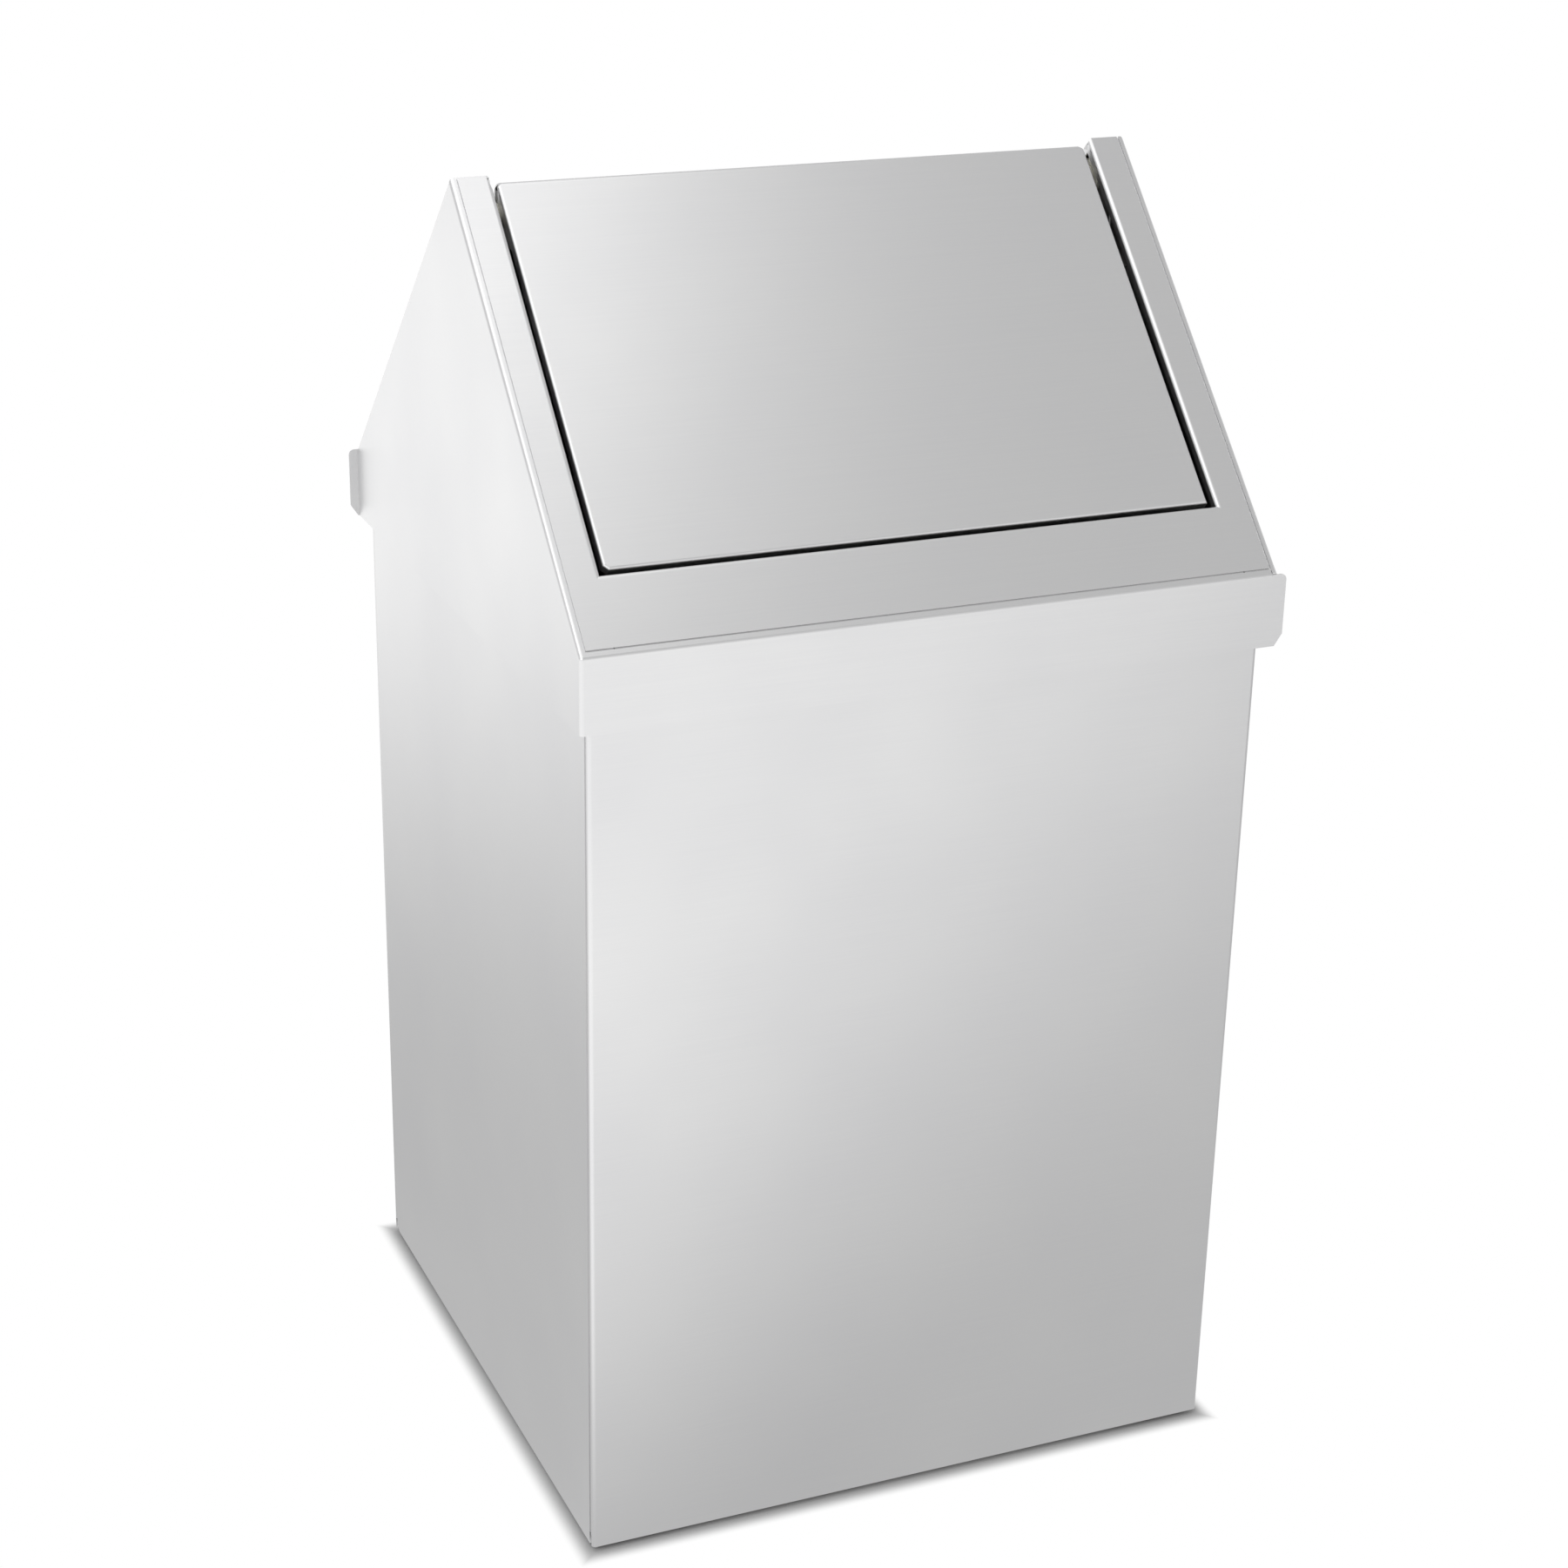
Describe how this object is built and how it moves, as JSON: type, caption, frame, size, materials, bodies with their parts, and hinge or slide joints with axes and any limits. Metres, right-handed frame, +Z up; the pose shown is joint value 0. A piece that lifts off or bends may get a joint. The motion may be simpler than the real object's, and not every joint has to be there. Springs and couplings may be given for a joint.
{
  "type": "swing-lid waste bin",
  "caption": "Square waste bin of folded stainless sheet with a lift-off pitched hood and a roof-shaped swing flap that tips to the front or the rear on an axle below the ridge.",
  "frame": {"origin": "on the ground under the centre of the body", "axes": "+X along the front to the right, +Y from the front to the rear, +Z up"},
  "size_m": [0.3596, 0.3506, 0.6443],
  "materials": {
    "satin_sheet": "fine satin-polished stainless sheet",
    "plain_sheet": "mill-finish stainless sheet, dull",
    "axle_steel": "bright drawn rod",
    "spring_steel": "dark tempered spring steel",
    "rivet": "plain blind rivet",
    "nylon": "natural nylon",
    "foot_rubber": "moulded black rubber",
    "buffer_rubber": "moulded black rubber"
  },
  "bodies": {
    "body": {"body_front_panel": "satin_sheet", "body_rear_panel": "satin_sheet", "body_left_panel": "satin_sheet", "body_right_panel": "satin_sheet", "base_pan": "plain_sheet", "rim_frame": "plain_sheet", "foot_front_left": "foot_rubber", "foot_front_right": "foot_rubber", "foot_rear_left": "foot_rubber", "foot_rear_right": "foot_rubber", "foot_rivets": "rivet"},
    "hood": {"hood_left_gable": "satin_sheet", "hood_right_gable": "satin_sheet", "hood_front_plate": "satin_sheet", "hood_rear_plate": "satin_sheet", "hood_front_rail": "plain_sheet", "hood_rear_rail": "plain_sheet", "hood_left_rail": "plain_sheet", "hood_right_rail": "plain_sheet", "bearing_bracket_left": "plain_sheet", "bearing_bracket_right": "plain_sheet", "axle_bush_left": "nylon", "axle_bush_right": "nylon", "stop_buffer_left": "buffer_rubber", "stop_buffer_right": "buffer_rubber"},
    "flap": {"flap_sheet": "satin_sheet", "flap_gusset_left": "plain_sheet", "flap_gusset_right": "plain_sheet", "flap_axle": "axle_steel", "axle_spacer_left": "nylon", "axle_spacer_right": "nylon", "axle_clip_left": "spring_steel", "axle_clip_right": "spring_steel"}
  },
  "joints": [
    {"name": "hood_lift", "type": "slide", "parent": "body", "child": "hood", "axis": [0, 0, 1], "range_m": [0, 0.32]},
    {"name": "flap_swing", "type": "hinge", "parent": "hood", "child": "flap", "pos_m": [0, 0, 0.6253], "axis": [1, 0, 0], "range_deg": [-50, 50]}
  ]
}
